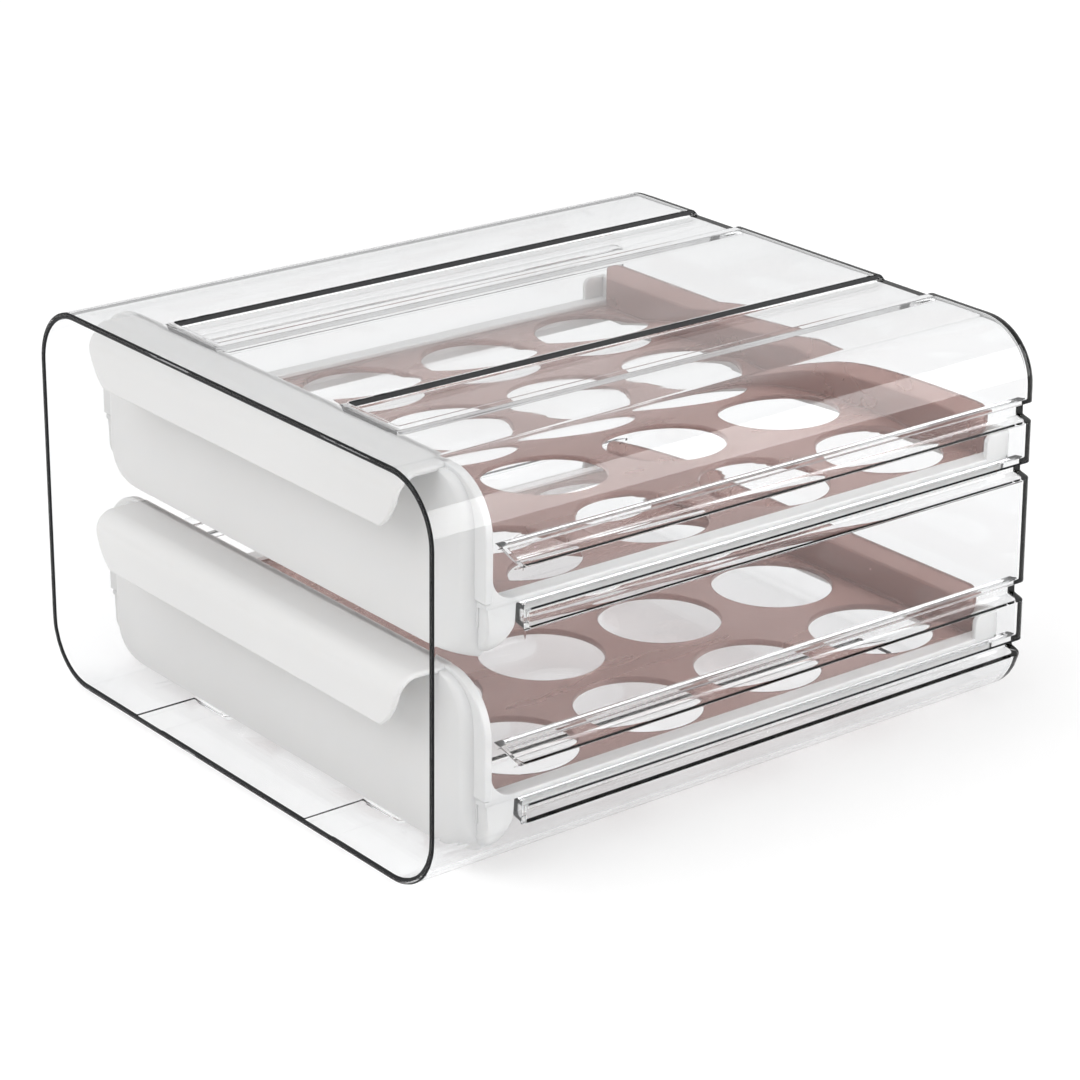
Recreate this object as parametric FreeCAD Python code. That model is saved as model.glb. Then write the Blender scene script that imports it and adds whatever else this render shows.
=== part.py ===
import FreeCAD, Part
import math
import os

# Two-drawer egg storage box, millimetres.
# X is the width, +Y runs from the open front to the closed back, +Z is up. The shapes are drawn with
# Y = 0 at the front edge of the case and Z = 0 at the case's underside, and are moved at the end so
# that the origin lies at the middle of the footprint, at the foot of the runners.

# ---- case: one clear moulding, open at the front
CASE_W = 205.0
CASE_D = 236.0
CASE_H = 126.0
CASE_WALL = 2.0
CASE_CORNER_R = 19.5
CASE_BACK_LEAN = 3.5        # the back wall's top edge stands this far forward of its foot
CASE_BACK_R = 3.0

# ---- stacking: runners under the case drop into channels in the top of the box below
STACK_X = 45.9
CHANNEL_W = 23.4
CHANNEL_FRONT = 21.5
CHANNEL_DEEP = 2.2
CHANNEL_FLOOR = 1.8
RUNNER_W = 18.0
RUNNER_H = 2.0
RUNNER_FRONT = 23.4
RUNNER_BACK = 226.0
RUNNER_WALL = 1.8

# ---- side ridges, pressed inward: one carries the drawer, the one above stops it from tipping
RIDGE_DEEP = 5.4
RIDGE_FLOOR = 1.9
CARRY_Z = (74.6, 83.0)
CARRY_SLOT_Z = (76.6, 81.0)
CARRY_FRONT = 34.0          # where the slot starts, at its foot
CARRY_SLANT = 0.0
TIP_Z = (93.9, 102.6)
TIP_SLOT_Z = (95.5, 101.0)
TIP_FRONT = 32.0
TIP_SLANT = 0.9             # the slot's end comes forward this much for each unit that it rises

# ---- drawers: two of one moulding, the lower one this far below the upper
DRAWER_PITCH = 60.5
RIM_HALF = 99.2
RIM_TOP = 121.5
RIM_R = 17.6
RIM_Y = (19.9, 22.8)
RIM_FOOT = 85.4
BODY_HALF = 94.7
BODY_Y = 17.6
BODY_FOOT = 66.9
BODY_TOP_R = 13.1
BODY_FACE_R = 14.6          # lower corners of the front face
BODY_BACK_R = 4.0           # lower corners where the sides have come round
BODY_PLAN_R = 5.0
SHELL = 2.0

HOOD_Y = 3.6
HOOD_LIP = 103.9
HOOD_ROLL_R = 7.0
HOOD_LIP_HALF = 70.5
HOOD_END_HALF = 80.8

EAR_HALF = 98.8
EAR_Y = (21.0, 31.2)
EAR_FOOT = 68.7
EAR_BACK_R = 8.0
EAR_EDGE_R = 7.0

FLANGE_Z = (83.3, 85.2)
FLANGE_HALF = 98.8
WEB_X = (93.0, 94.9)
WEB_FOOT = 77.0
LEDGE_IN = 91.0
LEDGE_Z = (80.0, 82.0)
BACK_WALL_Y = (223.5, 225.5)
POST_FRONT = 215.7
POST_TOP = 92.7
POST_THICK = 1.8
ARM_R = 8.0                 # fillet between the rim and the flange

# ---- egg trays: one plate in each drawer
TRAY_HALF = 92.7
TRAY_Y = (24.0, 222.6)
TRAY_Z = (82.0, 84.0)
TRAY_R = 4.0
TRAY_LIP_TOP = 99.5
TRAY_LIP_HALF = 92.0
TRAY_LIP_R = 3.0
TRAY_LIP_THICK = 1.8
HOLE_R = 19.8
HOLE_PITCH_X = 47.0
HOLE_PITCH_Y = 48.3
HOLE_FIRST_Y = 52.4
HOLES_ACROSS = 4
HOLES_DEEP = 4

PAST = 5.0                  # how far a cutting solid runs past what it cuts


def vec(x, y, z):
    return FreeCAD.Vector(x, y, z)


def block(x, y, z):
    """A box from three (low, high) pairs."""
    return Part.makeBox(x[1] - x[0], y[1] - y[0], z[1] - z[0], vec(x[0], y[0], z[0]))


def corner(cx, cz, r, start_deg, y):
    """A quarter arc in the plane at depth y, running clockwise from start_deg."""
    points = []
    for step in (0, 45, 90):
        a = math.radians(start_deg - step)
        points.append(vec(cx + r * math.cos(a), y, cz + r * math.sin(a)))
    return Part.Arc(*points).toShape()


def rounded_wire(half, z, r_top, r_foot, y):
    """A rounded rectangle in the plane at depth y, the same eight edges in the same order each time."""
    low, high = z
    arcs = [
        corner(half - r_top, high - r_top, r_top, 90, y),
        corner(half - r_foot, low + r_foot, r_foot, 0, y),
        corner(r_foot - half, low + r_foot, r_foot, -90, y),
        corner(r_top - half, high - r_top, r_top, 180, y),
    ]
    edges = []
    for this, following in zip(arcs, arcs[1:] + arcs[:1]):
        edges.append(this)
        edges.append(Part.makeLine(this.Vertexes[-1].Point, following.Vertexes[0].Point))
    return Part.Wire(edges)


def rounded_prism(half, z, r_top, r_foot, y):
    wire = rounded_wire(half, z, r_top, r_foot, y[0])
    return Part.Face(wire).extrude(vec(0, y[1] - y[0], 0))


def path_wire(points):
    return Part.makePolygon(points + points[:1])


def side_plate(outline, x):
    """A (y, z) outline pulled along X between two values."""
    wire = path_wire([vec(x[0], y, z) for y, z in outline])
    return Part.Face(wire).extrude(vec(x[1] - x[0], 0, 0))


def both_sides(solid):
    """The solid and its mirror image across the middle plane."""
    return [solid, solid.mirror(vec(0, 0, 0), vec(1, 0, 0))]


def union(solids):
    return solids[0].multiFuse(solids[1:]).removeSplitter()


def edges_where(solid, test):
    return [e for e in solid.Edges if test(e)]


# ---------------------------------------------------------------- case

def leaning_prism(inset):
    """The case's outer or inner block: rounded in front view, with a leaning, softened back."""
    half = CASE_W / 2 - inset
    z = (inset, CASE_H - inset)
    front = -PAST if inset else 0
    solid = rounded_prism(half, z, CASE_CORNER_R - inset, CASE_CORNER_R - inset, (front, CASE_D + PAST))
    foot = CASE_D - inset
    top = foot - CASE_BACK_LEAN
    slope = CASE_BACK_LEAN / CASE_H
    behind = side_plate(
        [
            (foot + slope * PAST, -PAST),
            (foot + 4 * PAST, -PAST),
            (foot + 4 * PAST, CASE_H + PAST),
            (top - slope * PAST, CASE_H + PAST),
        ],
        (-CASE_W, CASE_W),
    )
    solid = solid.cut(behind)
    back = edges_where(solid, lambda e: e.BoundBox.YMin > top - 1)
    return solid.makeFillet(CASE_BACK_R - inset / 2, back)


def ridge(z, slot_z, slot_front, slant, drop):
    """One pressed ridge on the right-hand wall: the added channel and the slot cut from outside."""
    inner = CASE_W / 2 - RIDGE_DEEP - RIDGE_FLOOR
    back = CASE_D - CASE_BACK_LEAN

    def end(level):
        return slot_front - slant * (level - slot_z[0])

    outline = [
        (end(z[0]) - CASE_WALL, z[0] - drop),
        (back, z[0] - drop),
        (back, z[1] - drop),
        (end(z[1]) - CASE_WALL, z[1] - drop),
    ]
    slot_outline = [
        (end(slot_z[0]), slot_z[0] - drop),
        (CASE_D + PAST, slot_z[0] - drop),
        (CASE_D + PAST, slot_z[1] - drop),
        (end(slot_z[1]), slot_z[1] - drop),
    ]
    added = side_plate(outline, (inner, CASE_W / 2 - CASE_WALL / 2))
    slot = side_plate(slot_outline, (inner + RIDGE_FLOOR, CASE_W))
    return added, slot


def make_case():
    outer = leaning_prism(0)
    shell = outer.cut(leaning_prism(CASE_WALL))
    added = []
    removed = []
    for drop in (0, DRAWER_PITCH):
        for shape in (
            (CARRY_Z, CARRY_SLOT_Z, CARRY_FRONT, CARRY_SLANT),
            (TIP_Z, TIP_SLOT_Z, TIP_FRONT, TIP_SLANT),
        ):
            rib, slot = ridge(*shape, drop)
            added += both_sides(rib)
            removed += both_sides(slot)
    top_cut = CASE_H - CHANNEL_DEEP
    for x in (-STACK_X, STACK_X):
        wide = CHANNEL_W / 2
        floor_half = wide + CHANNEL_FLOOR
        floor_y = (CHANNEL_FRONT - CHANNEL_FLOOR, CASE_D - CASE_BACK_LEAN)
        added.append(block((x - floor_half, x + floor_half), floor_y, (top_cut - CHANNEL_FLOOR, CASE_H - 1)))
        removed.append(block((x - wide, x + wide), (CHANNEL_FRONT, CASE_D + PAST), (top_cut, CASE_H + PAST)))
    body = union([shell] + added).common(outer)
    body = body.cut(union(removed))
    runners = []
    grooves = []
    for x in (-STACK_X, STACK_X):
        half = RUNNER_W / 2
        y = (RUNNER_FRONT, RUNNER_BACK)
        runners.append(block((x - half, x + half), y, (-RUNNER_H, CASE_WALL / 2)))
        half -= RUNNER_WALL
        y = (RUNNER_FRONT + RUNNER_WALL, RUNNER_BACK - RUNNER_WALL)
        grooves.append(block((x - half, x + half), y, (RUNNER_WALL - RUNNER_H, CASE_WALL + PAST)))
    return union([body] + runners).cut(union(grooves))


# ---------------------------------------------------------------- drawer, drawn at the upper level

def body_block(inset, y_front, y_back):
    """The recessed front box: its sides come round from the face, and its lower corners tighten."""
    z = (BODY_FOOT + inset, RIM_TOP - SHELL / 2 - inset)
    wires = []
    for t in (0.0, 0.25, 0.5, 0.75, 1.0):
        a = math.radians(90 * t)
        side = BODY_HALF - BODY_PLAN_R * (1 - math.sin(a))
        depth = y_front + BODY_PLAN_R * (1 - math.cos(a))
        r_foot = BODY_FACE_R + (BODY_BACK_R - BODY_FACE_R) * t
        wires.append(rounded_wire(side - inset, z, BODY_TOP_R - inset, max(r_foot - inset, 2.2), depth))
    r_foot = max(BODY_BACK_R - inset, 2.2)
    wires.append(rounded_wire(BODY_HALF - inset, z, BODY_TOP_R - inset, r_foot, y_back))
    return Part.makeLoft(wires, True, True)


def make_hood():
    """The full-width pull: a roof that rolls forward and down to a lip, its ends cut in S-curves."""
    outer_r = HOOD_ROLL_R
    inner_r = HOOD_ROLL_R - SHELL
    cy = HOOD_Y + outer_r
    cz = RIM_TOP - outer_r
    back = RIM_Y[1]
    diag = math.sqrt(0.5)

    def roll(r):
        top = vec(0, cy, cz + r)
        mid = vec(0, cy - r * diag, cz + r * diag)
        side = vec(0, cy - r, cz)
        return top, side, Part.Arc(top, mid, side).toShape()

    top_o, side_o, arc_o = roll(outer_r)
    top_i, side_i, arc_i = roll(inner_r)
    lip_o = vec(0, HOOD_Y, HOOD_LIP + SHELL / 2)
    lip_m = vec(0, HOOD_Y + SHELL / 2, HOOD_LIP)
    lip_i = vec(0, HOOD_Y + SHELL, HOOD_LIP + SHELL / 2)
    edges = [
        Part.makeLine(vec(0, back, RIM_TOP), top_o),
        arc_o,
        Part.makeLine(side_o, lip_o),
        Part.Arc(lip_o, lip_m, lip_i).toShape(),
        Part.makeLine(lip_i, side_i),
        arc_i,
        Part.makeLine(top_i, vec(0, back, RIM_TOP - SHELL)),
        Part.makeLine(vec(0, back, RIM_TOP - SHELL), vec(0, back, RIM_TOP)),
    ]
    profile = Part.Wire(Part.__sortEdges__(edges))
    swept = Part.Face(profile).extrude(vec(2 * RIM_HALF, 0, 0))
    swept.translate(vec(-RIM_HALF, 0, 0))

    rise = RIM_TOP - HOOD_LIP
    half_curve = [
        vec(HOOD_LIP_HALF, 0, HOOD_LIP - 1),
        vec(HOOD_LIP_HALF + 4.5, 0, HOOD_LIP + 0.14 * rise),
        vec(HOOD_LIP_HALF + 8.2, 0, HOOD_LIP + 0.45 * rise),
        vec(HOOD_END_HALF - 0.2, 0, HOOD_LIP + 0.8 * rise),
        vec(HOOD_END_HALF, 0, RIM_TOP + 1),
    ]
    curve = Part.BSplineCurve()
    curve.interpolate(half_curve)
    right = curve.toShape()
    left = right.mirror(vec(0, 0, 0), vec(1, 0, 0))
    first, last = half_curve[0], half_curve[-1]
    outline = Part.Wire(Part.__sortEdges__([
        right,
        Part.makeLine(last, vec(-last.x, 0, last.z)),
        left,
        Part.makeLine(vec(-first.x, 0, first.z), first),
    ]))
    front_view = Part.Face(outline).extrude(vec(0, back + PAST, 0))
    return swept.common(front_view)


def ear_outline(inset):
    """The drooping side ear, seen from the side: a round back corner and a soft front corner."""
    front, back = EAR_Y[0] + inset, EAR_Y[1] - inset
    foot = EAR_FOOT + inset
    r_back = EAR_BACK_R - inset
    r_front = 3.0 - inset / 2
    points = [(front, FLANGE_Z[1])]
    for deg in (180, 210, 240, 270):
        a = math.radians(deg)
        points.append((front + r_front + r_front * math.cos(a), foot + r_front + r_front * math.sin(a)))
    for deg in range(270, 361, 15):
        a = math.radians(deg)
        points.append((back - r_back + r_back * math.cos(a), foot + r_back + r_back * math.sin(a)))
    points.append((back, FLANGE_Z[1]))
    return points


def make_ears():
    outer = side_plate(ear_outline(0), (WEB_X[0], EAR_HALF))
    within = rounded_prism(EAR_HALF, (EAR_FOOT, RIM_TOP), 3.0, EAR_EDGE_R, (0, CASE_D))
    hollow = side_plate(ear_outline(SHELL), (0, EAR_HALF - SHELL))
    hollow_within = rounded_prism(
        EAR_HALF - SHELL, (EAR_FOOT + SHELL, FLANGE_Z[0] - SHELL), 3.0, EAR_EDGE_R - SHELL, (0, CASE_D)
    )
    ear = outer.common(within).cut(hollow.common(hollow_within))
    return both_sides(ear)


def make_arm():
    """One side rail: flange, web, tray ledge, the fillet up to the rim, and the corner post."""
    y = (RIM_Y[0], BACK_WALL_Y[1])
    flange = block((WEB_X[0], FLANGE_HALF), y, FLANGE_Z)
    web = block(WEB_X, y, (WEB_FOOT, FLANGE_Z[1]))
    ledge = block((LEDGE_IN, WEB_X[1]), y, LEDGE_Z)
    y0, z0 = RIM_Y[1], FLANGE_Z[1]
    gusset = [(y0 - 1, z0 - 1), (y0 - 1, z0 + ARM_R)]
    for deg in range(180, 271, 15):
        a = math.radians(deg)
        gusset.append((y0 + ARM_R + ARM_R * math.cos(a), z0 + ARM_R + ARM_R * math.sin(a)))
    gusset.append((y0 + ARM_R, z0 - 1))
    fillet = side_plate(gusset, (FLANGE_HALF - SHELL, FLANGE_HALF))
    post_outline = [
        (POST_FRONT, FLANGE_Z[0]),
        (BACK_WALL_Y[1], FLANGE_Z[0]),
        (BACK_WALL_Y[1], POST_TOP),
        (POST_FRONT + 2, POST_TOP),
        (POST_FRONT, POST_TOP - 2),
    ]
    post = side_plate(post_outline, (FLANGE_HALF - POST_THICK, FLANGE_HALF))
    return union([flange, web, ledge, fillet, post])


def make_drawer():
    outer = body_block(0, BODY_Y, RIM_Y[1])
    inner = body_block(SHELL, BODY_Y + SHELL, RIM_Y[1] + PAST)
    rim = rounded_prism(RIM_HALF, (RIM_FOOT, RIM_TOP), RIM_R, 0.5, RIM_Y)
    front = union([outer, rim]).cut(inner)
    web_half = WEB_X[1]
    back_low = block((-web_half, web_half), BACK_WALL_Y, (WEB_FOOT, POST_TOP))
    back_high = block((-FLANGE_HALF, FLANGE_HALF), BACK_WALL_Y, (FLANGE_Z[0], POST_TOP))
    front_ledge = block((-WEB_X[0], WEB_X[0]), (BODY_Y + 1, TRAY_Y[0] + 4), LEDGE_Z)
    back_ledge = block((-WEB_X[0], WEB_X[0]), (BACK_WALL_Y[0] - 4.5, BACK_WALL_Y[1]), LEDGE_Z)
    pieces = [front, make_hood(), back_low, back_high, front_ledge, back_ledge]
    pieces += make_ears()
    pieces += both_sides(make_arm())
    return union(pieces)


# ---------------------------------------------------------------- egg tray, drawn at the upper level

def make_tray():
    plate = block((-TRAY_HALF, TRAY_HALF), TRAY_Y, TRAY_Z)
    uprights = edges_where(plate, lambda e: e.BoundBox.ZLength > 1)
    plate = plate.makeFillet(TRAY_R, uprights)
    lip_y = (TRAY_Y[1] - TRAY_LIP_THICK, TRAY_Y[1])
    lip_z = (TRAY_Z[0], TRAY_LIP_TOP)
    lip = rounded_prism(TRAY_LIP_HALF, (lip_z[0] - TRAY_LIP_R, lip_z[1]), TRAY_LIP_R, 1.0, lip_y)
    lip = lip.common(block((-TRAY_HALF, TRAY_HALF), lip_y, lip_z))
    lip_foot = block((-TRAY_HALF + TRAY_R, TRAY_HALF - TRAY_R), lip_y, TRAY_Z)
    tray = union([plate, lip, lip_foot])
    for row in range(HOLES_DEEP):
        for column in range(HOLES_ACROSS):
            x = (column - (HOLES_ACROSS - 1) / 2) * HOLE_PITCH_X
            y = HOLE_FIRST_Y + row * HOLE_PITCH_Y
            tray = tray.cut(Part.makeCylinder(HOLE_R, TRAY_Z[1] - TRAY_Z[0] + 2, vec(x, y, TRAY_Z[0] - 1)))
    return tray


# ---------------------------------------------------------------- output

def save(name, solid, drop=0.0):
    placed = solid.copy()
    placed.translate(vec(0, -CASE_D / 2, RUNNER_H - drop))
    if len(placed.Solids) == 1:
        placed = placed.Solids[0]
    placed.exportStep(os.path.join("parts", name + ".step"))
    box = placed.BoundBox
    print(name, "valid", placed.isValid(), "solids", len(placed.Solids), "volume", round(placed.Volume),
          "x", round(box.XMin, 2), round(box.XMax, 2), "y", round(box.YMin, 2), round(box.YMax, 2),
          "z", round(box.ZMin, 2), round(box.ZMax, 2))


def main():
    os.makedirs("parts", exist_ok=True)
    drawer = make_drawer()
    tray = make_tray()
    save("case", make_case())
    save("upper_drawer", drawer)
    save("upper_egg_tray", tray)
    save("lower_drawer", drawer, DRAWER_PITCH)
    save("lower_egg_tray", tray, DRAWER_PITCH)


main()
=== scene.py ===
import math

import bmesh
import bpy
from mathutils import Matrix, Vector


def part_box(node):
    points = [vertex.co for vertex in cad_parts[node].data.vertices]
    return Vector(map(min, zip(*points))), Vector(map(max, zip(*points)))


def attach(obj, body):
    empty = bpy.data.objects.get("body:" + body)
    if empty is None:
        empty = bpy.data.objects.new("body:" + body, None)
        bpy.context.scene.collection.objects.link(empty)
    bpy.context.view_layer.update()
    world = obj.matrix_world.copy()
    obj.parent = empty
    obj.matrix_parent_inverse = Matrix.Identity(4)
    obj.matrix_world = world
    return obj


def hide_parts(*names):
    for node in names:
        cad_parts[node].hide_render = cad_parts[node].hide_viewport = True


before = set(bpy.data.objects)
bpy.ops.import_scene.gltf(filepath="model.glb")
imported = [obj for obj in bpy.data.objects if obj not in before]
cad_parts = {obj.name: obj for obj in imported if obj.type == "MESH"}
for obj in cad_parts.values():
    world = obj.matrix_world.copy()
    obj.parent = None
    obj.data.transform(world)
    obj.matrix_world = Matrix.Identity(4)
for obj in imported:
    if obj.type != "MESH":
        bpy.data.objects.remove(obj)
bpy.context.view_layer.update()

# Shapes are drawn in millimetres. X = 0 is the middle, Y = 0 the case's front edge and Z = 0 the case's
# underside, just above its runners. Both drawers are drawn at the upper one's level, and the lower one
# is then dropped. place() turns all that into the frame's metres.
MM = 0.001
CASE_LOW, CASE_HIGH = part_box("case")
FRONT_Y = CASE_LOW[1]
RUNNER_H = 2.0
DROP = (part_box("upper_drawer")[1][2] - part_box("lower_drawer")[1][2]) / MM
DROPS = (DROP, 0.0)

# ---- case
HALF_W = (CASE_HIGH[0] - CASE_LOW[0]) / MM / 2
CASE_D = 235.99             # a hair short of the CAD's depth, so that the back stays inside its box
CASE_H = (CASE_HIGH[2] - CASE_LOW[2]) / MM - RUNNER_H
WALL = 2.0
CORNER_R = 19.5
BACK_LEAN = 3.5             # how much further forward the back is at its top than at its foot
BACK_R = 3.0
BACK_APPROACH = 2.0         # how far in front of the back's rounded edge the last plain ring is
LEAN_FROM = 226.6           # only what is behind this depth leans
# Channels in the top and runners underneath, each as it is outside and then inside the wall
STACK_X = 45.9
CHANNEL = {"half": 11.7, "front": 21.5, "floor": CASE_H - 2.2}
CHANNEL_UNDER = {"half": 13.5, "front": 19.7, "floor": CASE_H - 4.0}
RUNNER = {"half": 9.0, "front": 23.4, "back": 226.0, "floor": -RUNNER_H}
RUNNER_GROOVE = {"half": 7.2, "front": 25.2, "back": 224.2, "floor": -0.2}
# Each side ridge: its slot's and its wall's heights, where the slot starts at its foot, and how much
# further forward it starts for each millimetre up.
SLOT_X = 97.1
RIDGE_X = 95.2
CARRY = {"slot": (76.6, 81.0), "wall": (75.6, 82.6), "front": 34.0, "slant": 0.0}
TIP = {"slot": (95.5, 101.0), "wall": (94.7, 101.8), "front": 32.0, "slant": 0.9}
RIDGE_WALL = 1.0
LIP_RUN = 1.1               # how far a pressed edge takes to turn in
SCORE = 0.25                # depth of the faint lines on the case's floor in front of the runners
# The cut front edge gets painted shade: a near-black material that stands in for the dark the clear wall
# shows there,
# with one light line of plain clear plastic left in it. The wall gets the same painted shade where it turns
# in sharply:
# down the left side of each channel, and just over each carry slot.
FRONT_EDGE_R = 0.45
EDGE_LIGHT = 0.5
CHANNEL_FOLD = {"x": STACK_X - CHANNEL["half"], "front": 20.0, "foot": CASE_H - 1.3, "least_rise": 0.08}
SLOT_FOLD = {"over": (0.3, 1.2), "depth": 0.6}
# Points near the tip ridges' slanted front ends follow the slant. By depth, they start to at the first
# of these, do so fully between the middle two and no longer do at the last.
SLANT_ZONE = (13.0, 28.0, 36.0, 62.0)
# Where plain stretches of the wall have points too: up its sides, across its bottom and top, and back
SIDE_FILL = (8.0, 11.0, 24.0, 27.5, 45.0, 52.0, 60.0, 68.0, 85.0, 88.0, 105.0, CASE_H - CORNER_R)
BOTTOM_FILL = (0.0, 12.0, 24.0, 66.0, 75.0, HALF_W - CORNER_R)
TOP_FILL = (0.0, 12.0, 24.0, 70.0, 76.0, HALF_W - CORNER_R)
DEPTH_FILL = (1.0, 4.0, 8.0, 12.0, 15.0, 28.0, 37.0, 42.0, 49.0, 56.0, 64.0, 90.0, 120.0, 150.0, 180.0,
              205.0, 215.0)
LEAST_STEP = 0.05           # points nearer to each other than this are left out
LOW_ARC = 10
HIGH_ARC = 14

# ---- drawer
SHELL = 2.0
LEAST_R = 2.0
RIM = {"half": 99.2, "top": 121.5, "r": 17.6, "y": (19.9, 22.8), "foot": 85.4, "wide": 5.5, "soft": 0.6}
RIM_END = 0.4
RIM_MID_Z = 100.0
BODY = {"half": 94.7, "y": 17.6, "foot": 66.9, "top_r": 13.1, "face_r": 14.6, "back_r": 4.0, "plan_r": 5.0}
HOOD = {"y": 3.6, "lip": 103.9, "r": 7.0}
# Half the hood's width by share of the way up from its lip to its roof
HOOD_EDGE = ((-0.057, 70.5), (0.14, 75.0), (0.45, 78.7), (0.8, 80.6), (1.057, 80.8))
FLANGE_Z = (83.3, 85.2)
WEB_X = (93.0, 94.9)
WEB_FOOT = 77.0
LEDGE_X = 91.0
LEDGE_Z = (80.0, 82.0)
EAR = {"half": 98.8, "y": (21.0, 31.2), "foot": 68.7, "top": FLANGE_Z[1] - 0.2, "back_r": 7.1, "front_r": 3.0,
       "edge_r": 7.0, "soft": 1.0}
EAR_FILL = (WEB_X[0] + 0.4, 94.3, 95.2, 96.0, 96.7, 97.3)
BACK_WALL_Y = (223.5, 225.5)
POST = {"front": 215.7, "top": 92.7, "thick": 1.8}
ARM_R = 8.0
SUNK = 1.2                  # how deep the arm under the rim reaches into its neighbours
ASIDE = 0.05                # keeps the sides of neighbouring parts out of one plane

# ---- tray
TRAY = {"half": 92.7, "y": (24.0, 220.8), "z": (82.0, 84.0), "r": 4.0}
TRAY_LIP = {"half": 92.0, "y": (TRAY["y"][1] + 0.02, 222.6), "top": 99.5, "r": 3.0}
HOLE_R = 19.8
HOLE_SOFT = 0.6
HOLE_BORDER = 1.5
PITCH_X = 47.0
PITCH_Y = 48.3
FIRST_Y = 52.4
HOLES = 4
FRONT_LEDGE_Y = (BODY["y"] + 1.0, TRAY["y"][0] + 4.0)
BACK_LEDGE_Y = (BACK_WALL_Y[0] - 4.5, BACK_WALL_Y[1] - 0.3)

# ---- camera, floor and light
AZIMUTH = math.radians(51.30)
ELEVATION = math.radians(21.64)
ROLL = math.radians(0.71)
CAMERA_AT = (787.0, -511.5, 449.8)
LENS = 113.79
SENSOR = 36.0
FLOOR_REACH = 14.0
FLOOR_GLOW = 0.5
SKY_LOW = (0.20, 0.20, 0.205)
SKY_HIGH = (0.70, 0.70, 0.70)
SKY_HIGH_FROM = 0.32        # the height from which the sky is at its brightest
SUN = {"from": (-0.30, -0.85, 1.0), "energy": 1.6, "angle": 75}
LAMPS_AIM = Vector((0.0, 0.0, 0.06))
STRIP = {"from": (0.74, 0.58, 0.30), "distance": 1.8, "size": (1.5, 1.25), "power": 25.0}
FILL = {"from": (1.0, -0.05, 0.12), "distance": 1.6, "size": (1.4, 0.8), "power": 4.0}

# ---- colours: each material's darkest and lightest tone, and what it lets through of a lamp's light
CLEAR_TONES = ((0.94, 0.944, 0.948), (0.962, 0.965, 0.968))
# Painted shade: the clear plastic's colour where its wall is seen edge on
CLEAR_PAINTED_EDGE_SHADE = (0.28, 0.285, 0.29)
CLEAR_LIGHT = (0.97, 0.972, 0.975)
# Painted shade: near-black tones that stand in for the dark of the clear wall's cut edge and sharp folds
PAINTED_EDGE_SHADE_TONES = ((0.004, 0.004, 0.005), (0.02, 0.021, 0.023))
WHITE_TONES = ((0.63, 0.627, 0.622), (0.69, 0.688, 0.684))
MAUVE_TONES = ((0.45, 0.295, 0.265), (0.55, 0.38, 0.35))
MAUVE_LIGHT = (0.62, 0.50, 0.50)
FLOOR_TONES = ((0.55, 0.55, 0.55), (0.56, 0.56, 0.56))

QUARTER = math.radians(90)
TINY = 1e-6
# The case's second material slot holds the painted shade, a near-black stand-in for the dark at its cut edge
# and folds
PLAIN, PAINTED_SHADE = 0, 1          # the case's material slots


def place(point, drop=0.0):
    x, y, z = point
    return Vector((x * MM, FRONT_Y + y * MM, (z + RUNNER_H - drop) * MM))


def smooth_step(t):
    t = min(max(t, 0.0), 1.0)
    return t * t * (3 - 2 * t)


def mix(a, b, t):
    return a + (b - a) * t


def quarter_round(r, steps):
    """Along a rounded edge, from its end face to its side: how far each point is drawn in and set back."""
    angles = [QUARTER * k / steps for k in range(steps + 1)]
    return [(r * (1 - math.sin(a)), r * (1 - math.cos(a))) for a in angles]


# ---------------------------------------------------------------- mesh building

class Skin:
    """Points and faces gathered from loops, then turned into one object."""

    def __init__(self):
        self.points = []
        self.faces = []
        self.slots = []

    def loop(self, points):
        first = len(self.points)
        self.points += points
        return list(range(first, len(self.points)))

    def face(self, corners, slot=PLAIN):
        self.faces.append(tuple(corners))
        self.slots.append(slot)

    def bridge(self, a, b, slot=PLAIN):
        """Faces between two closed loops with the same number of points."""
        for i in range(len(a)):
            j = (i + 1) % len(a)
            self.face((a[i], a[j], b[j], b[i]), slot)

    def chain(self, loops, slot=PLAIN):
        for a, b in zip(loops, loops[1:]):
            self.bridge(a, b, slot)

    def tube(self, loops):
        self.chain(loops)
        self.face(loops[0])
        self.face(loops[-1])

    def build(self, name, materials, drop=0.0, sharp_deg=40):
        mesh = bpy.data.meshes.new(name)
        mesh.from_pydata([place(p, drop) for p in self.points], [], self.faces)
        for material in materials:
            mesh.materials.append(material)
        mesh.polygons.foreach_set("material_index", self.slots)
        work = bmesh.new()
        work.from_mesh(mesh)
        bmesh.ops.remove_doubles(work, verts=work.verts, dist=1e-7)
        bmesh.ops.recalc_face_normals(work, faces=work.faces)
        work.to_mesh(mesh)
        work.free()
        mesh.shade_smooth()
        mesh.set_sharp_from_angle(angle=math.radians(sharp_deg))
        obj = bpy.data.objects.new(name, mesh)
        bpy.context.scene.collection.objects.link(obj)
        weighted = obj.modifiers.new("even_normals", "WEIGHTED_NORMAL")
        weighted.keep_sharp = True
        return obj


def rounded(points, radii, steps):
    """A closed outline whose corners are turned with the given radii."""
    out = []
    count = len(points)
    for i, r in enumerate(radii):
        here = Vector(points[i])
        before = (Vector(points[i - 1]) - here).normalized()
        after = (Vector(points[(i + 1) % count]) - here).normalized()
        half = before.angle(after) / 2
        reach = r / math.tan(half)
        centre = here + (before + after).normalized() * (r / math.sin(half))
        start = here + before * reach - centre
        end = here + after * reach - centre
        sweep = math.pi - 2 * half
        for k in range(steps + 1):
            t = k / steps
            bent = (start * math.sin((1 - t) * sweep) + end * math.sin(t * sweep)) / math.sin(sweep)
            out.append(tuple(centre + bent))
    return out


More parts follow.
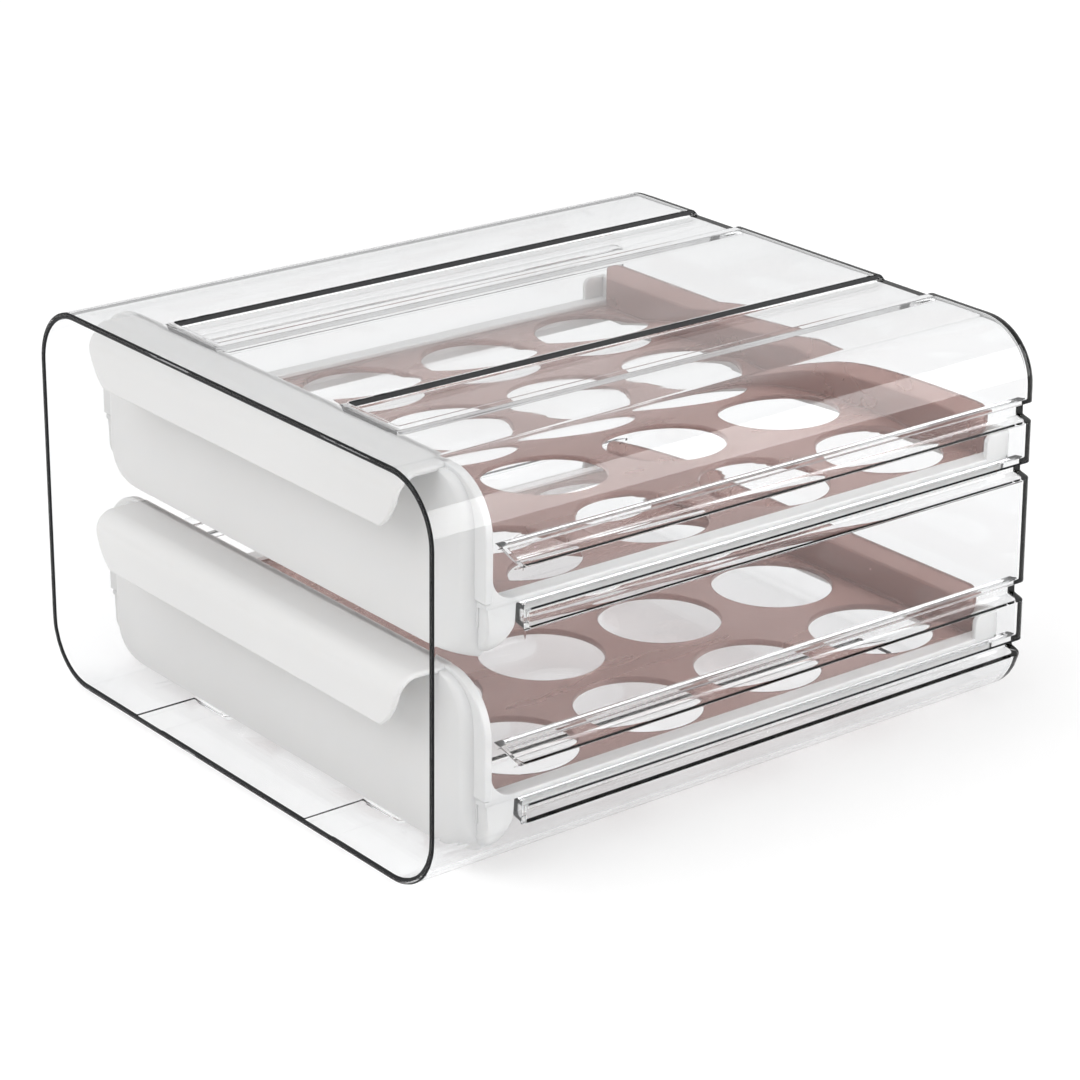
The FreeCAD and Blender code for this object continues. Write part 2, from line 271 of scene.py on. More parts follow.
def inset(points, d):
    """The outline moved inward by d, for outlines with no edge shorter than d needs."""
    area = sum(a[0] * b[1] - b[0] * a[1] for a, b in zip(points, points[1:] + points[:1]))
    side = 1 if area > 0 else -1
    least_squeeze = 0.4
    out = []
    count = len(points)
    for i, p in enumerate(points):
        a = (Vector(p) - Vector(points[i - 1])).normalized()
        b = (Vector(points[(i + 1) % count]) - Vector(p)).normalized()
        inward = (Vector((-a.y - b.y, a.x + b.x)) * side).normalized()
        squeeze = max(least_squeeze, inward.dot(Vector((-a.y, a.x)) * side))
        out.append(tuple(Vector(p) + inward * d / squeeze))
    return out


def lay(p, axis, along):
    """A point of a flat outline, put at a place along an axis."""
    if axis == "x":
        return (along, p[0], p[1])
    if axis == "y":
        return (p[0], along, p[1])
    return (p[0], p[1], along)


def slab(skin, outline, axis, span, soft, steps):
    """A closed solid: an outline pulled along an axis, with the edges of both ends rounded."""
    low, high = span
    edge = quarter_round(soft, steps)
    stations = [(low + back, pull) for pull, back in edge]
    stations += [(high - back, pull) for pull, back in reversed(edge)]
    loops = []
    for along, pull in stations:
        shape = inset(outline, pull) if pull > TINY else outline
        loops.append(skin.loop([lay(p, axis, along) for p in shape]))
    skin.tube(loops)


def mirrored(outline):
    return [(-x, y) for x, y in reversed(outline)]


# ---------------------------------------------------------------- materials

class Look:
    """A material's nodes, with short ways to add the kinds used here."""

    def __init__(self, name):
        self.material = bpy.data.materials.new(name)
        self.material.use_nodes = True
        self.nodes = self.material.node_tree.nodes
        self.links = self.material.node_tree.links
        self.shader = self.nodes["Principled BSDF"]

    def set(self, numbers):
        for socket, value in numbers.items():
            self.shader.inputs[socket].default_value = value

    def feed(self, socket, source):
        self.links.new(source, self.shader.inputs[socket])

    def noise(self, scale, detail, stretch=(1, 1, 1)):
        """Soft patches, finer with more scale, and drawn out along an axis whose stretch is small."""
        where = self.nodes.new("ShaderNodeTexCoord")
        fit = self.nodes.new("ShaderNodeMapping")
        fit.inputs["Scale"].default_value = stretch
        field = self.nodes.new("ShaderNodeTexNoise")
        field.inputs["Scale"].default_value = scale
        field.inputs["Detail"].default_value = detail
        self.links.new(where.outputs["Object"], fit.inputs["Vector"])
        self.links.new(fit.outputs["Vector"], field.inputs["Vector"])
        return field.outputs["Fac"]

    def spread(self, value, low, high, start=0.35, end=0.65):
        """The value stretched from start..end to low..high."""
        ramp = self.nodes.new("ShaderNodeMapRange")
        ramp.inputs["From Min"].default_value = start
        ramp.inputs["From Max"].default_value = end
        ramp.inputs["To Min"].default_value = low
        ramp.inputs["To Max"].default_value = high
        self.links.new(value, ramp.inputs["Value"])
        return ramp.outputs["Result"]

    def blend(self, share, a, b):
        """A colour between a and b, each of them a colour or another node's output."""
        node = self.nodes.new("ShaderNodeMix")
        node.data_type = "RGBA"
        self.links.new(share, node.inputs["Factor"])
        for socket, colour in (("A", a), ("B", b)):
            if isinstance(colour, tuple):
                node.inputs[socket].default_value = (*colour, 1)
            else:
                self.links.new(colour, node.inputs[socket])
        return node.outputs["Result"]

    def bump(self, value, strength, distance):
        node = self.nodes.new("ShaderNodeBump")
        node.inputs["Strength"].default_value = strength
        node.inputs["Distance"].default_value = distance
        self.links.new(value, node.inputs["Height"])
        self.feed("Normal", node.outputs["Normal"])

    def edge_on(self, start, end):
        """0 where a face is seen square on, rising to 1 where it is seen edge on."""
        weight = self.nodes.new("ShaderNodeLayerWeight")
        weight.inputs["Blend"].default_value = 0.5
        return self.spread(weight.outputs["Facing"], 0.0, 1.0, start, end)

    def let_lamps_through(self, tone):
        """Light from lamps passes the wall straight, so what is inside is lit."""
        path = self.nodes.new("ShaderNodeLightPath")
        clear = self.nodes.new("ShaderNodeBsdfTransparent")
        clear.inputs["Color"].default_value = (*tone, 1)
        choose = self.nodes.new("ShaderNodeMixShader")
        self.links.new(path.outputs["Is Shadow Ray"], choose.inputs["Fac"])
        self.links.new(self.shader.outputs["BSDF"], choose.inputs[1])
        self.links.new(clear.outputs["BSDF"], choose.inputs[2])
        self.links.new(choose.outputs["Shader"], self.nodes["Material Output"].inputs["Surface"])


def clear_plastic():
    """Polished clear plastic: faint flow waves, fine wiping scratches, and painted shade that darkens it
    where seen edge on.
    """
    look = Look("clear_plastic")
    look.set({"Transmission Weight": 1.0, "IOR": 1.36})
    haze = look.blend(look.noise(scale=22.0, detail=3.0), *CLEAR_TONES)
    # Painted shade: the colour darkens towards this where the wall is seen edge on
    look.feed("Base Color", look.blend(look.edge_on(start=0.86, end=0.98), haze, CLEAR_PAINTED_EDGE_SHADE))
    scratches = look.noise(scale=160.0, detail=4.0, stretch=(1.0, 0.08, 1.0))
    look.feed("Roughness", look.spread(scratches, 0.0, 0.06, start=0.5, end=0.75))
    look.bump(look.noise(scale=30.0, detail=1.0), strength=0.05, distance=0.0004)
    look.let_lamps_through(CLEAR_LIGHT)
    return look.material


def painted_edge_shade():
    """Painted shade: a near-black material for the cut edge of the clear wall and its sharp folds, standing
    in for the dark that refraction and the long way through the plastic show there.
    """
    look = Look("clear_plastic_painted_edge_shade")
    look.set({"Specular IOR Level": 0.12})
    depth = look.noise(scale=60.0, detail=2.0, stretch=(1.0, 1.0, 0.3))
    look.feed("Base Color", look.blend(depth, *PAINTED_EDGE_SHADE_TONES))
    look.feed("Roughness", look.spread(look.noise(scale=220.0, detail=2.0), 0.12, 0.25))
    return look.material


def white_plastic():
    """Satin white moulded plastic: a faint grain, slight mottling and soft gloss changes."""
    look = Look("white_plastic")
    look.set({"Specular IOR Level": 0.28, "Subsurface Weight": 0.12, "Subsurface Scale": 1.0,
              "Subsurface Radius": (0.004, 0.0035, 0.003)})
    look.feed("Base Color", look.blend(look.noise(scale=14.0, detail=3.0), *WHITE_TONES))
    rub = look.noise(scale=45.0, detail=4.0, stretch=(1.0, 0.3, 1.0))
    look.feed("Roughness", look.spread(rub, 0.30, 0.42))
    look.bump(look.noise(scale=900.0, detail=2.0), strength=0.06, distance=0.0002)
    return look.material


def tinted_plastic():
    """Smoky mauve see-through plastic with slightly uneven colour and gloss."""
    look = Look("tinted_plastic")
    look.set({"Transmission Weight": 0.72, "IOR": 1.45})
    look.feed("Base Color", look.blend(look.noise(scale=18.0, detail=3.0), *MAUVE_TONES))
    rub = look.noise(scale=70.0, detail=4.0, stretch=(1.0, 0.2, 1.0))
    look.feed("Roughness", look.spread(rub, 0.16, 0.30))
    look.bump(look.noise(scale=40.0, detail=1.0), strength=0.05, distance=0.0003)
    look.let_lamps_through(MAUVE_LIGHT)
    return look.material


def floor_paper():
    """Pale paper with no gloss, which glows a little so that it ends in white."""
    look = Look("pale_floor")
    look.set({"Emission Color": (1.0, 1.0, 1.0, 1.0), "Emission Strength": FLOOR_GLOW, "Roughness": 0.9,
              "Specular IOR Level": 0.0})
    look.feed("Base Color", look.blend(look.noise(scale=6.0, detail=3.0), *FLOOR_TONES))
    return look.material


# ---------------------------------------------------------------- case

def edge_run(at):
    """Sample places across one pressed edge, closest together in its middle."""
    return [at + LIP_RUN * (t - 0.5) for t in (0, 0.2, 0.38, 0.5, 0.62, 0.8, 1)]


def within(value, low, high):
    """1 between low and high, falling smoothly to 0 across each edge."""
    rise = smooth_step((value - low) / LIP_RUN + 0.5)
    fall = smooth_step((high - value) / LIP_RUN + 0.5)
    return rise * fall


def thinned(places):
    """The places in order, without any that all but touches the one before it."""
    places = sorted(places)
    return places[:1] + [b for a, b in zip(places, places[1:]) if b - a > LEAST_STEP]


def side_levels():
    """Heights up the right-hand wall, close together where the ridges turn in."""
    levels = list(SIDE_FILL)
    for drop in DROPS:
        for ridge in (CARRY, TIP):
            for at in ridge["slot"] + ridge["wall"]:
                levels += edge_run(at - drop)
    return thinned(levels)


def flat_places(fill, shapes):
    """Places from the middle out along the flat of the bottom or the top."""
    places = list(fill)
    for shape in shapes:
        places += edge_run(STACK_X - shape["half"]) + edge_run(STACK_X + shape["half"])
    return sorted(places)


def case_profile():
    """Marks round the right half of the wall, from the bottom middle to the top middle."""
    levels = side_levels()
    low_end = math.asin((CORNER_R - levels[0]) / CORNER_R)
    marks = [("bottom", x) for x in flat_places(BOTTOM_FILL, (RUNNER, RUNNER_GROOVE))]
    marks += [("low", mix(QUARTER, low_end, k / LOW_ARC)) for k in range(1, LOW_ARC)]
    marks += [("side", z) for z in levels]
    marks += [("high", QUARTER * k / HIGH_ARC) for k in range(1, HIGH_ARC)]
    marks += [("top", x) for x in reversed(flat_places(TOP_FILL, (CHANNEL, CHANNEL_UNDER)))]
    return marks


def case_stations():
    """Depths of the rings of points, close together where something pressed starts or ends."""
    depths = list(DEPTH_FILL)
    ends = [shape["front"] for shape in (CHANNEL, CHANNEL_UNDER, RUNNER, RUNNER_GROOVE, CARRY, TIP)]
    ends += [ridge["front"] - RIDGE_WALL for ridge in (CARRY, TIP)]
    ends += [shape["back"] for shape in (RUNNER, RUNNER_GROOVE)]
    for at in ends:
        depths += edge_run(at)
    return thinned(depths)


def wall_point(mark, pull):
    """The plain wall at a mark, pulled in from the outside by a distance."""
    kind, at = mark
    flat = HALF_W - CORNER_R
    r = CORNER_R - pull
    if kind == "bottom":
        return at, pull
    if kind == "top":
        return at, CASE_H - pull
    if kind == "low":
        return flat + r * math.cos(at), CORNER_R - r * math.sin(at)
    if kind == "high":
        return flat + r * math.cos(at), CASE_H - CORNER_R + r * math.sin(at)
    if at < CORNER_R:
        below = (CORNER_R - at) * r / CORNER_R
        return flat + math.sqrt(r * r - below * below), CORNER_R - below
    return HALF_W - pull, at


def end_shift(ridge, level):
    """How far a ridge's front end is moved at a level, next to where it is at its slot's foot."""
    return ridge["slant"] * (ridge["slot"][0] - level)


def slant_shift(mark, y):
    """Slides points beside the tip ridges' front ends, so that rows of them follow the slanted ends."""
    kind, at = mark
    if kind != "side":
        return 0.0
    start, full_from, full_to, end = SLANT_ZONE
    nearness = min(smooth_step((y - start) / (full_from - start)), smooth_step((end - y) / (end - full_to)))
    low, high = TIP["wall"][0] - LIP_RUN, TIP["wall"][1] + LIP_RUN
    for drop in DROPS:
        if low <= at + drop <= high:
            return end_shift(TIP, at + drop) * nearness
    return 0.0


def pressed(mark, x, z, y, inside):
    """The same point once the ridges, channels and runners are pressed in."""
    kind, at = mark
    if kind == "side":
        floor = RIDGE_X if inside else SLOT_X
        for drop in DROPS:
            for ridge in (CARRY, TIP):
                low, high = ridge["wall" if inside else "slot"]
                front = ridge["front"] + end_shift(ridge, at + drop) - (RIDGE_WALL if inside else 0.0)
                push = within(at, low - drop, high - drop) * smooth_step((y - front) / LIP_RUN + 0.5)
                x = mix(x, min(x, floor), push)
    if kind == "top":
        shape = CHANNEL_UNDER if inside else CHANNEL
        push = within(at, STACK_X - shape["half"], STACK_X + shape["half"])
        push *= smooth_step((y - shape["front"]) / LIP_RUN + 0.5)
        z = mix(z, min(z, shape["floor"]), push)
    if kind == "bottom":
        shape = RUNNER_GROOVE if inside else RUNNER
        across = within(at, STACK_X - shape["half"], STACK_X + shape["half"])
        z = mix(z, shape["floor"], across * within(y, shape["front"], shape["back"]))
        if inside and y < shape["front"]:
            z = min(z, mix(z, WALL - SCORE, across))
    return x, z


def case_loop(skin, marks, y, pull, inside, drawn_in=0.0):
    """One ring of points. drawn_in makes it smaller, for the back's rounded edge."""
    right = []
    for mark in marks:
        x, z = wall_point(mark, pull + drawn_in)
        lean = BACK_LEAN * z / CASE_H if y > LEAN_FROM else 0.0
        depth = y + slant_shift(mark, y)
        x, z = pressed(mark, x, z, depth, inside)
        right.append((x, depth - lean, z))
    left = [(-x, depth, z) for x, depth, z in reversed(right) if x > TINY]
    return skin.loop(right + left)


def wall_loops(skin, marks, inside):
    """The rings of one side of the wall: those round the front edge, and the rest to the back's middle."""
    pull = WALL if inside else 0.0
    inward = -1 if inside else 1
    front = [case_loop(skin, marks, y, pull + inward * edge_pull, inside)
             for edge_pull, y in quarter_round(FRONT_EDGE_R, 3)]
    back_r = BACK_R - pull / 2
    back_y = CASE_D - pull
    depths = case_stations() + [back_y - back_r - BACK_APPROACH]
    wall = [case_loop(skin, marks, y, pull, inside) for y in depths]
    wall += [case_loop(skin, marks, back_y - short, pull, inside, drawn_in)
             for drawn_in, short in reversed(quarter_round(back_r, 5))]
    return front, wall


def paint_fold_shade(skin):
    """Puts the painted shade material where the case turns in sharply."""
    left_sides = (CHANNEL_FOLD["x"], CHANNEL_FOLD["x"] - 2 * STACK_X)
    over_low, over_high = SLOT_FOLD["over"]
    for i, face in enumerate(skin.faces):
        if len(face) != 4 or skin.slots[i] == PAINTED_SHADE:
            continue
        points = [skin.points[k] for k in face]
        x, y, z = (sum(p[axis] for p in points) / 4 for axis in range(3))
        rise = max(p[2] for p in points) - min(p[2] for p in points)
        channel = (min(abs(x - side) for side in left_sides) < LIP_RUN / 2 and y > CHANNEL_FOLD["front"]
                   and rise > CHANNEL_FOLD["least_rise"] and z > CHANNEL_FOLD["foot"])
        over = min((z + drop - CARRY["slot"][1] for drop in DROPS), key=abs)
        slot = over_low < over < over_high and abs(x) > HALF_W - SLOT_FOLD["depth"] and y > CARRY["front"]
        if channel or slot:
            skin.slots[i] = PAINTED_SHADE


def make_case(clear, edge):
    skin = Skin()
    marks = case_profile()
    outer_front, outer = wall_loops(skin, marks, False)
    inner_front, inner = wall_loops(skin, marks, True)
    # The front edge gets the painted shade, except for a line of plain clear plastic along its outer side
    light_end = case_loop(skin, marks, 0.0, FRONT_EDGE_R + EDGE_LIGHT, False)
    skin.bridge(outer_front[0], light_end)
    skin.bridge(light_end, inner_front[0], PAINTED_SHADE)
    for front, wall in ((outer_front, outer), (inner_front, inner)):
        skin.chain(front, PAINTED_SHADE)
        skin.chain([front[-1]] + wall)
        skin.face(wall[-1])
    paint_fold_shade(skin)
    return skin.build("clear_case", [clear, edge], sharp_deg=60)


# ---------------------------------------------------------------- drawer

def ring(half, low, high, r_top, r_foot, y, arc=10, runs=6):
    """A rounded rectangle at depth y, always with the same number of points."""
    corners = (
        (half - r_top, high - r_top, r_top, 0),
        (r_top - half, high - r_top, r_top, 90),
        (r_foot - half, low + r_foot, r_foot, 180),
        (half - r_foot, low + r_foot, r_foot, 270),
    )
    arcs = []
    for cx, cz, r, start in corners:
        angles = [math.radians(start + 90 * k / arc) for k in range(arc + 1)]
        arcs.append([(cx + r * math.cos(a), y, cz + r * math.sin(a)) for a in angles])
    points = []
    for i, bend in enumerate(arcs):
        points += bend
        a, b = Vector(bend[-1]), Vector(arcs[(i + 1) % 4][0])
        points += [tuple(a.lerp(b, k / runs)) for k in range(1, runs)]
    return points


def body_loops(skin, pull):
    """Rings from the front box's face to its open back, pulled in from the outside by a distance."""
    low, high = BODY["foot"] + pull, RIM["top"] - SHELL / 2 - pull
    face_y, back_y = BODY["y"] + pull, RIM["y"][1]
    steps = 8
    turn = enumerate(quarter_round(BODY["plan_r"], steps))
    stations = [(narrow, face_y + back, k / steps) for k, (narrow, back) in turn if face_y + back < back_y]
    stations.append((0.0, back_y, 1.0))
    loops = []
    for narrow, y, share in stations:
        half = BODY["half"] - narrow - pull
        r_foot = max(mix(BODY["face_r"], BODY["back_r"], share) - pull, LEAST_R)
        loops.append(skin.loop(ring(half, low, high, BODY["top_r"] - pull, r_foot, y)))
    return loops


def add_body(skin):
    """The recessed front box: an open-backed shell behind the hood."""
    outer = body_loops(skin, 0.0)
    inner = body_loops(skin, SHELL)
    for loops in (outer, inner):
        skin.chain(loops)
        skin.face(loops[0])
    skin.bridge(outer[-1], inner[-1])


def add_rim(skin):
    """The raised frame round the front block: up one side, over the top and down the other."""
    front, back = RIM["y"]
    half, wide, r, foot = RIM["half"], RIM["wide"], RIM["r"], RIM["foot"]
    section = rounded([(0, front), (0, back), (wide, back), (wide, front)], [RIM["soft"]] * 4, 3)
    stops = [(half, foot, 0.0, inset(section, RIM_END)), (half, foot + RIM_END, 0.0, section),
             (half, RIM_MID_Z, 0.0, section)]
    for k in range(15):
        a = QUARTER * k / 14
        stops.append((half - r + r * math.cos(a), RIM["top"] - r + r * math.sin(a), a, section))
    stops += [(-x, z, math.pi - a, outline) for x, z, a, outline in reversed(stops)]
    skin.tube([skin.loop([(x - d * math.cos(a), y, z - d * math.sin(a)) for d, y in outline])
               for x, z, a, outline in stops])


def hood_end(z):
    """Half the hood's width at a height: an S-curve from the narrow lip out to the full roof."""
    rise = (z - HOOD["lip"]) / (RIM["top"] - HOOD["lip"])
    edge = HOOD_EDGE
    last = len(edge) - 1
    k = next((i for i in range(1, last) if rise < edge[i][0]), last)

    def slope(i):
        before, after = edge[max(i - 1, 0)], edge[min(i + 1, last)]
        return (after[1] - before[1]) / (after[0] - before[0])

    (low, low_half), (high, high_half) = edge[k - 1], edge[k]
    t = min(max((rise - low) / (high - low), 0.0), 1.0)
    bend = (high - low) * (slope(k - 1) * t * (1 - t) ** 2 - slope(k) * t * t * (1 - t))
    return mix(low_half, high_half, smooth_step(t)) + bend


def hood_path():
    """The hood's mid-line from the rim to the lip: point, outward normal, half thickness."""
    h = SHELL / 2
    r = HOOD["r"] - h
    cy, cz = HOOD["y"] + HOOD["r"], RIM["top"] - HOOD["r"]
    path = [(mix(RIM["y"][1], cy, k / 4), cz + r, 0.0, 1.0, h) for k in range(5)]
    for k in range(1, 13):
        a = QUARTER * k / 12
        path.append((cy - r * math.sin(a), cz + r * math.cos(a), -math.sin(a), math.cos(a), h))
    low = HOOD["lip"] + h
    path += [(cy - r, mix(cz, low, k / 6), -1.0, 0.0, h) for k in range(1, 7)]
    thinnest = 0.02
    for k in range(1, 6):
        a = QUARTER * k / 5
        path.append((cy - r, low - h * math.sin(a), -1.0, 0.0, max(h * math.cos(a), thinnest)))
    return path


def add_hood(skin):
    """The full-width pull: roof, rolled front and lip, with rounded S-shaped ends."""
    path = hood_path()
    h = SHELL / 2
    turns = [(math.sin(QUARTER * k / 4), math.cos(QUARTER * k / 4)) for k in range(4)] + [(1.0, 0.05)]
    right = [(1.0, h * (1 - out), thin) for out, thin in turns]
    middle = [(k / 8, h, 1.0) for k in range(-7, 8)]
    left = [(-share, short, thin) for share, short, thin in reversed(right)]
    loops = []
    for share, short, thin in left + middle + right:
        outer = []
        inner = []
        for y, z, ny, nz, half in path:
            x = share * (hood_end(z) - short)
            outer.append((x, y + ny * half * thin, z + nz * half * thin))
            inner.append((x, y - ny * half * thin, z - nz * half * thin))
        loops.append(skin.loop(outer + inner[::-1]))
    skin.chain(loops)
    for loop in (loops[0], loops[-1]):
        for i in range(len(path) - 1):
            skin.face((loop[i], loop[i + 1], loop[-2 - i], loop[-1 - i]))


def add_ears(skin):
    """Round-cornered ears that hang at each side behind the face."""
    (front, back), foot, top = EAR["y"], EAR["foot"], EAR["top"]
    edge_r = EAR["edge_r"]
    outline = rounded([(front, top), (front, foot), (back, foot), (back, top)],
                      [0.3, EAR["front_r"], EAR["back_r"], 0.3], 8)
    outside = EAR["half"] - 2 * ASIDE
    soft_run, lift_run = 5.0, 12.0      # heights over which the soft edge and the rounding fade out
    stations = [(x, 0.0) for x in EAR_FILL]
    stations += [(outside - short, pull) for pull, short in reversed(quarter_round(EAR["soft"], 4))]
    for side in (-1, 1):
        loops = []
        for x, pull in stations:
            past = max(x - (EAR["half"] - edge_r), 0.0)
            lift = edge_r - math.sqrt(edge_r ** 2 - past ** 2)
            points = []
            for whole, pulled in zip(outline, inset(outline, pull)):
                low = 1 - smooth_step((whole[1] - WEB_FOOT) / soft_run)
                y, z = mix(whole[0], pulled[0], low), mix(whole[1], pulled[1], low)
                points.append((side * x, y, z + lift * (1 - smooth_step((z - foot) / lift_run))))
            loops.append(skin.loop(points))
        skin.tube(loops)


def add_rails(skin):
    """Side rails: flange, web and tray ledge in one section, the arm up to the rim and the back post."""
    inner, outer = WEB_X
    edge = EAR["half"]
    low, high = FLANGE_Z
    corners = [
        (inner, high), (edge, high), (edge, low), (outer, low), (outer, WEB_FOOT), (inner, WEB_FOOT),
        (inner, LEDGE_Z[0]), (LEDGE_X, LEDGE_Z[0]), (LEDGE_X, LEDGE_Z[1]), (inner, LEDGE_Z[1]),
    ]
    rail = rounded(corners, [0.4, 0.6, 0.6, 0.5, 0.6, 0.6, 0.4, 0.5, 0.5, 0.4], 3)
    y0 = RIM["y"][1]
    arm = [(y0 - SUNK, high - SUNK), (y0 - SUNK, high + ARM_R)]
    arm += [(y0 + back, high + up) for up, back in quarter_round(ARM_R, 8)]
    arm += [(y0 + ARM_R, high - SUNK)]
    post = rounded([(POST["front"], low), (BACK_WALL_Y[1], low), (BACK_WALL_Y[1], POST["top"]),
                    (POST["front"], POST["top"])], [0.5, 0.5, 0.8, 2.5], 4)
    for side in (-1, 1):
        section = rail if side > 0 else mirrored(rail)
        slab(skin, section, "y", (RIM["y"][0] + 0.6, BACK_WALL_Y[1]), 0.4, 2)
        slab(skin, arm, "x", sorted((side * (edge - SHELL), side * (edge - ASIDE))), 0.4, 2)
        slab(skin, post, "x", sorted((side * (edge - POST["thick"]), side * (edge - ASIDE))), 0.5, 3)


def add_cross_walls(skin):
    """The low back wall and the ledges that carry the tray's front and back edges."""
    wide, (inner, narrow) = EAR["half"], WEB_X
    low, mid, high = WEB_FOOT, FLANGE_Z[0], POST["top"]
    wall = rounded([(-wide, high), (-wide, mid), (-narrow, mid), (-narrow, low),
                    (narrow, low), (narrow, mid), (wide, mid), (wide, high)],
                   [2.0, 0.6, 0.5, 1.5, 1.5, 0.5, 0.6, 2.0], 4)
    slab(skin, wall, "y", BACK_WALL_Y, 0.6, 3)
    for near, far in (FRONT_LEDGE_Y, BACK_LEDGE_Y):
        ledge = rounded([(-inner, near), (inner, near), (inner, far), (-inner, far)], [0.5] * 4, 2)
        slab(skin, ledge, "z", LEDGE_Z, 0.5, 2)


def make_drawer(level, drop, material):
    skin = Skin()
    add_body(skin)
    add_rim(skin)
    add_hood(skin)
    add_ears(skin)
    add_rails(skin)
    add_cross_walls(skin)
    return skin.build(level + "_drawer_moulding", [material], drop, sharp_deg=38)


# ---------------------------------------------------------------- egg tray

def cell_bounds(cx, cy, row, column):
    """The square of plate round a hole's middle, out to the plate's rim in the outermost cells."""
    x0 = -TRAY["half"] if column == 0 else cx - PITCH_X / 2
    x1 = TRAY["half"] if column == HOLES - 1 else cx + PITCH_X / 2
    y0 = TRAY["y"][0] if row == 0 else cy - PITCH_Y / 2
    y1 = TRAY["y"][1] if row == HOLES - 1 else cy + PITCH_Y / 2
    return x0, x1, y0, y1


def cell_edge(cx, cy, angle, bounds):
    """Where a ray from a hole's middle meets its cell, with the plate's own corners rounded."""
    x0, x1, y0, y1 = bounds
    c, s = math.cos(angle), math.sin(angle)
    across = (x1 - cx if c > 0 else cx - x0) / max(abs(c), TINY)
    along = (y1 - cy if s > 0 else cy - y0) / max(abs(s), TINY)
    reach = min(across, along)
    x, y = cx + c * reach, cy + s * reach
    r = TRAY["r"]
    half, low, high = TRAY["half"] - r, TRAY["y"][0] + r, TRAY["y"][1] - r
    if abs(x) > half and not low <= y <= high:
        dx = cx - math.copysign(half, x)
        dy = cy - (low if y < low else high)
        b = dx * c + dy * s
        reach = -b + math.sqrt(max(b * b - dx * dx - dy * dy + r * r, 0.0))
        x, y = cx + c * reach, cy + s * reach
    return x, y


def on_shared_side(x, y, bounds):
    """Whether a place on a cell's edge is where the next cell begins, and so has no side face."""
    near = 1e-3
    x0, x1, y0, y1 = bounds
    on_side = min(x - x0, x1 - x, y - y0, y1 - y) <= near
    on_rim = min(TRAY["half"] - abs(x), y - TRAY["y"][0], TRAY["y"][1] - y) < near
    return on_side and not on_rim


def add_cell(skin, row, column):
    """One hole and the square of plate around it."""
    cx = (column - (HOLES - 1) / 2) * PITCH_X
    cy = FIRST_Y + row * PITCH_Y
    bounds = cell_bounds(cx, cy, row, column)
    x0, x1, y0, y1 = bounds
    angles = [math.tau * k / 72 for k in range(72)]
    angles += [math.atan2(y - cy, x - cx) % math.tau for x in (x0, x1) for y in (y0, y1)]
    angles = sorted(set(round(a, 6) for a in angles))
    low, high = TRAY["z"]
    profile = [(HOLE_R + HOLE_BORDER, high)]
    profile += [(HOLE_R + out, high - down) for out, down in quarter_round(HOLE_SOFT, 3)]
    profile += [(r, low + high - z) for r, z in reversed(profile)]
    rim = [cell_edge(cx, cy, a, bounds) for a in angles]
    loops = [skin.loop([(x, y, high) for x, y in rim])]
    for r, z in profile:
        loops.append(skin.loop([(cx + r * math.cos(a), cy + r * math.sin(a), z) for a in angles]))
    loops.append(skin.loop([(x, y, low) for x, y in rim]))
    skin.chain(loops)
    top, bottom = loops[0], loops[-1]
    for i, here in enumerate(rim):
        j = (i + 1) % len(rim)
        x, y = ((a + b) / 2 for a, b in zip(here, rim[j]))
        if not on_shared_side(x, y, bounds):
            skin.face((top[i], top[j], bottom[j], bottom[i]))


def make_tray(level, drop, material):
    skin = Skin()
    for row in range(HOLES):
        for column in range(HOLES):
            add_cell(skin, row, column)
    plate = skin.build(level + "_tray_plate", [material], drop)
    skin = Skin()
    half, r, top, low = TRAY_LIP["half"], TRAY_LIP["r"], TRAY_LIP["top"], TRAY["z"][0]
    outline = rounded([(-half, top), (-half, low), (half, low), (half, top)], [r, 0.4, 0.4, r], 6)
    slab(skin, outline, "y", TRAY_LIP["y"], 0.5, 3)
    lip = skin.build(level + "_tray_lip", [material], drop)
    return plate, lip


# ---------------------------------------------------------------- camera, floor and light

def make_camera():
    data = bpy.data.cameras.new("camera")
    data.lens = LENS
    data.sensor_width = SENSOR
    data.clip_end = 100.0
    camera = bpy.data.objects.new("camera", data)
    back = Vector((math.sin(AZIMUTH) * math.cos(ELEVATION), -math.cos(AZIMUTH) * math.cos(ELEVATION),
                   math.sin(ELEVATION)))
    right = Vector((math.cos(AZIMUTH), math.sin(AZIMUTH), 0))
    up = back.cross(right)
    rolled_right = right * math.cos(ROLL) + up * math.sin(ROLL)
    rolled_up = up * math.cos(ROLL) - right * math.sin(ROLL)
    turn = Matrix((rolled_right, rolled_up, back)).transposed()
    camera.matrix_world = Matrix.Translation(place(CAMERA_AT)) @ turn.to_4x4()
    bpy.context.scene.collection.objects.link(camera)
    bpy.context.scene.camera = camera


def make_floor():
    mesh = bpy.data.meshes.new("floor")
    r = FLOOR_REACH
    mesh.from_pydata([(-r, -r, 0), (r, -r, 0), (r, r, 0), (-r, r, 0)], [], [(0, 1, 2, 3)])
    mesh.materials.append(floor_paper())
    floor = bpy.data.objects.new("floor", mesh)
    bpy.context.scene.collection.objects.link(floor)


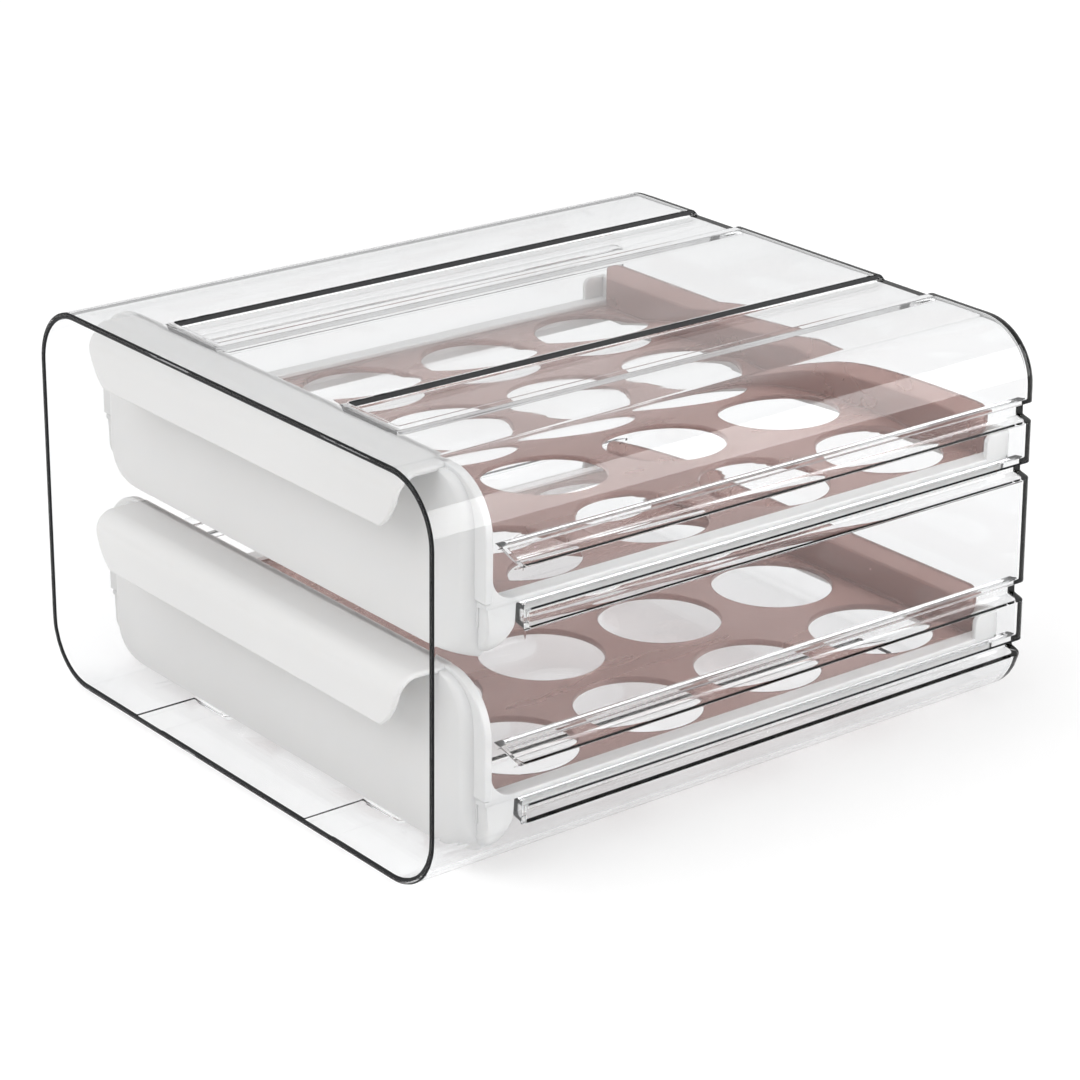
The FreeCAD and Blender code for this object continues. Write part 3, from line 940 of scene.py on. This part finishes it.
def make_sky():
    """Dim near the horizon and even above it."""
    world = bpy.data.worlds.new("studio")
    bpy.context.scene.world = world
    world.use_nodes = True
    nodes, links = world.node_tree.nodes, world.node_tree.links
    where = nodes.new("ShaderNodeTexCoord")
    split = nodes.new("ShaderNodeSeparateXYZ")
    ramp = nodes.new("ShaderNodeValToRGB")
    low, high = ramp.color_ramp.elements
    low.position, high.position = 0.0, SKY_HIGH_FROM
    low.color, high.color = (*SKY_LOW, 1), (*SKY_HIGH, 1)
    links.new(where.outputs["Generated"], split.inputs["Vector"])
    links.new(split.outputs["Z"], ramp.inputs["Fac"])
    links.new(ramp.outputs["Color"], nodes["Background"].inputs["Color"])


def add_sun():
    data = bpy.data.lights.new("key", "SUN")
    data.energy = SUN["energy"]
    data.angle = math.radians(SUN["angle"])
    lamp = bpy.data.objects.new("key", data)
    lamp.rotation_euler = Vector(SUN["from"]).to_track_quat("Z", "Y").to_euler()
    bpy.context.scene.collection.objects.link(lamp)


def add_area_light(name, light, diffuse=True, glossy=True):
    data = bpy.data.lights.new(name, "AREA")
    data.shape = "RECTANGLE"
    data.size, data.size_y = light["size"]
    data.energy = light["power"]
    lamp = bpy.data.objects.new(name, data)
    lamp.location = LAMPS_AIM + Vector(light["from"]).normalized() * light["distance"]
    lamp.rotation_euler = (LAMPS_AIM - lamp.location).to_track_quat("-Z", "Y").to_euler()
    lamp.visible_diffuse = diffuse
    lamp.visible_glossy = glossy
    bpy.context.scene.collection.objects.link(lamp)


def make_light():
    """A bright sky and a soft sun, a strip for the plastic's shine and a fill for the right side."""
    make_sky()
    add_sun()
    add_area_light("strip", STRIP, diffuse=False)
    add_area_light("fill", FILL, glossy=False)


def main():
    bpy.context.scene.view_settings.view_transform = "Standard"
    make_camera()
    white, tinted = white_plastic(), tinted_plastic()
    case = make_case(clear_plastic(), painted_edge_shade())
    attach(case, "case")
    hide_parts("case")
    for level, drop in (("upper", 0.0), ("lower", DROP)):
        body = level + "_drawer"
        moulding = make_drawer(level, drop, white)
        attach(moulding, body)
        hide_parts(level + "_drawer")
        plate, lip = make_tray(level, drop, tinted)
        for piece in (plate, lip):
            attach(piece, body)
        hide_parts(level + "_egg_tray")
    make_floor()
    make_light()


main()
